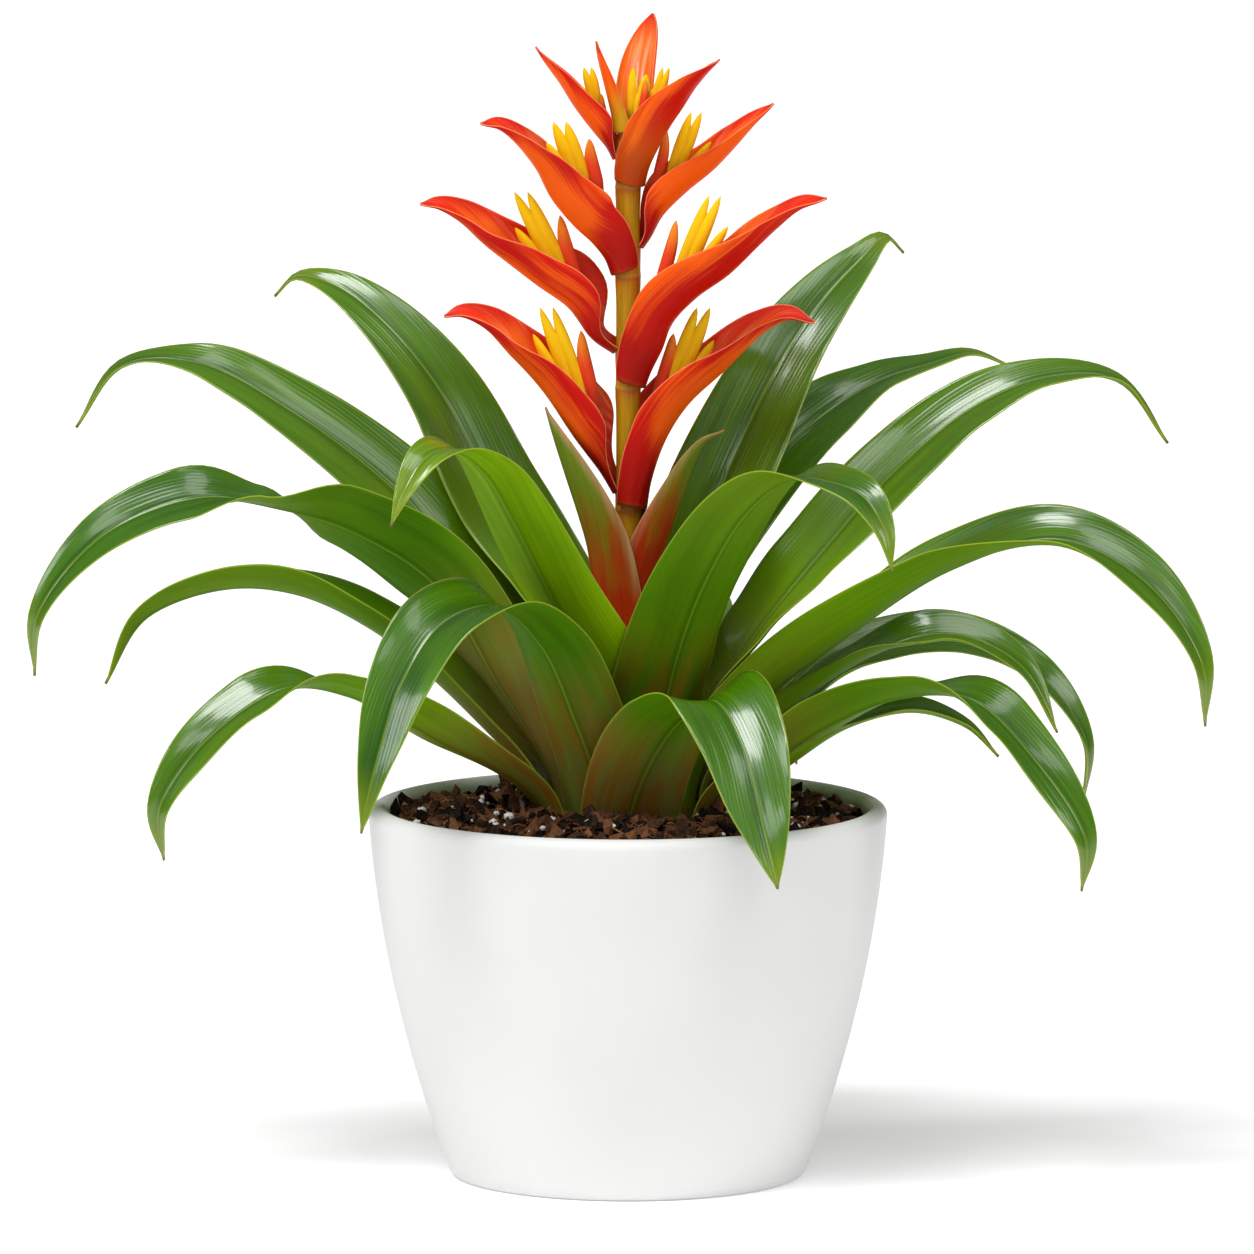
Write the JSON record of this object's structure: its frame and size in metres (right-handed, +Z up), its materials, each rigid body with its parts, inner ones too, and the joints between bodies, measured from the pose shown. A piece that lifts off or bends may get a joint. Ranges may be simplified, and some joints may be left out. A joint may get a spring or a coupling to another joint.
{
  "type": "potted vriesea",
  "caption": "Flowering bromeliad with arching strap leaves and an upright spike of boat-shaped red bracts with yellow florets, growing in a plain round tapered pot.",
  "frame": {"origin": "centre of the flat foot of the pot, on the surface that it stands on", "axes": "+Z up along the pot and the flower stem; -Y towards the viewer of the picture, +X to the viewer's right"},
  "size_m": [0.3976, 0.2493, 0.3936],
  "materials": {
    "pot": "matte",
    "soil": "matte",
    "stem": "satin",
    "leaf": "satin",
    "scape_bract": "satin",
    "bract": "satin",
    "petal": "satin",
    "calyx": "satin"
  },
  "bodies": {
    "root": {"pot": "pot", "soil": "soil", "core_stem": "stem", "flower_stem": "stem", "leaf_front": "leaf", "leaf_left_6": "leaf", "leaf_left_4": "leaf", "leaf_right_4": "leaf", "leaf_right_1": "leaf", "leaf_left_1": "leaf", "leaf_left_2": "leaf", "leaf_right_3": "leaf", "leaf_right_2": "leaf", "leaf_right_5": "leaf", "leaf_left_3": "leaf", "leaf_left_5": "leaf", "leaf_left_7": "leaf", "leaf_right_6": "leaf", "leaf_right_7": "leaf", "leaf_right_8": "leaf", "leaf_right_9": "leaf", "leaf_back_1": "leaf", "leaf_back_2": "leaf", "leaf_back_3": "leaf", "leaf_back_4": "leaf", "leaf_back_5": "leaf", "leaf_back_6": "leaf", "scape_bract_left": "scape_bract", "scape_bract_right": "scape_bract", "scape_bract_front": "scape_bract", "scape_bract_back": "scape_bract", "bract_1": "bract", "bract_2": "bract", "bract_3": "bract", "bract_4": "bract", "bract_5": "bract", "bract_6": "bract", "bract_7": "bract", "bract_8": "bract", "bract_9": "bract", "bract_10": "bract", "florets_1": "petal", "florets_2": "petal", "florets_3": "petal", "florets_4": "petal", "florets_5": "petal", "florets_6": "petal", "florets_7": "petal", "florets_8": "petal", "calyx_1": "calyx", "calyx_2": "calyx", "calyx_3": "calyx", "calyx_4": "calyx", "calyx_5": "calyx", "calyx_6": "calyx", "calyx_7": "calyx", "calyx_8": "calyx"}
  },
  "joints": []
}
